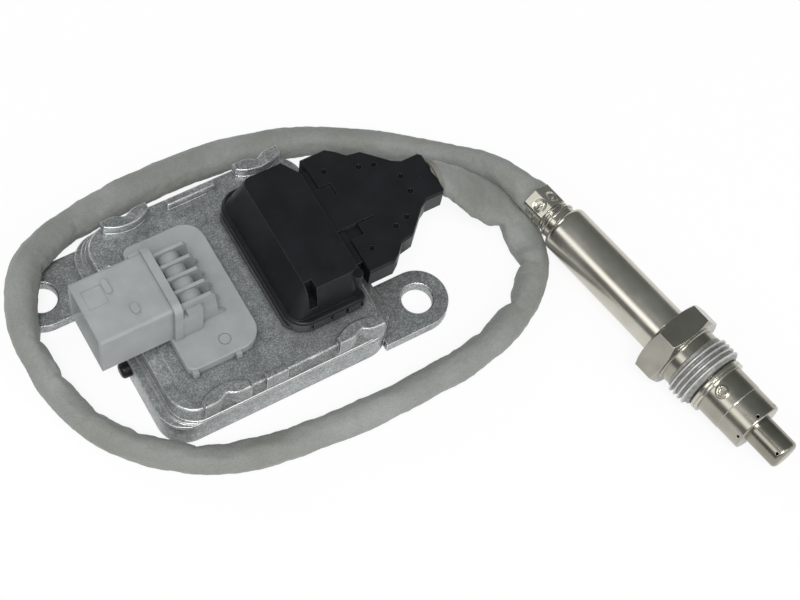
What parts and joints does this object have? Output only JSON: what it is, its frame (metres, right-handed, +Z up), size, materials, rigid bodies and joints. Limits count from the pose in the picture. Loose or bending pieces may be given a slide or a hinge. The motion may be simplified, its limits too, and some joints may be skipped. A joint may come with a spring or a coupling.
{
  "type": "nitrogen oxide sensor",
  "caption": "Exhaust gas sensor: a flanged cast control unit with two connectors, a sleeved cable laid in a loop and a screw-in steel probe with a free-turning union nut.",
  "frame": {"origin": "middle of the control unit's underside, on the table", "axes": "+Z up, +X from the supply connector towards the cable plug, +Y towards the back edge; the probe lies along about -Y on the right"},
  "size_m": [0.1685, 0.1571, 0.0341],
  "materials": {
    "cast_aluminium": "as-cast, slightly mottled satin",
    "seal_rubber": "matte",
    "black_plastic": "fine satin, glass-filled",
    "grey_plastic": "satin moulded",
    "board": "solder mask",
    "pad": "soft matte",
    "chip": "matte",
    "capacitor": "gloss sleeve",
    "contact_metal": "tinned",
    "lead_insulation": "smooth",
    "cable_sleeve": "soft coated braid",
    "stainless": "turned, bright",
    "ceramic": "fired, matte",
    "talc": "pressed powder"
  },
  "bodies": {
    "sensor": {"housing_tray": "cast_aluminium", "housing_seal": "seal_rubber", "housing_cover": "cast_aluminium", "vent_plug": "black_plastic", "circuit_board": "board", "thermal_pad": "pad", "processor": "chip", "driver_chips": "chip", "storage_capacitors": "capacitor", "supply_pins": "contact_metal", "supply_gasket": "seal_rubber", "supply_socket": "grey_plastic", "sensor_pins": "contact_metal", "sensor_gasket": "seal_rubber", "sensor_socket": "black_plastic", "plug_contacts": "contact_metal", "plug_nose": "black_plastic", "plug_cover": "black_plastic", "plug_base": "black_plastic", "plug_leads": "lead_insulation", "cable_grommet": "seal_rubber", "cable_sleeve": "cable_sleeve", "crimp_ferrule": "stainless", "rear_grommet": "seal_rubber", "probe_leads": "lead_insulation", "contact_clamp": "ceramic", "probe_sleeve": "stainless", "probe_body": "stainless", "rear_ceramic": "ceramic", "talc_ring": "talc", "front_ceramic": "ceramic", "sensing_element": "ceramic", "outer_shield": "stainless", "inner_shield": "stainless"},
    "nut": {"union_nut": "stainless"}
  },
  "joints": [
    {"name": "nut_turn", "type": "hinge", "parent": "sensor", "child": "nut", "pos_m": [0.09792, -0.07211, 0.011], "axis": [0.184, -0.9829, 0], "continuous": true}
  ]
}
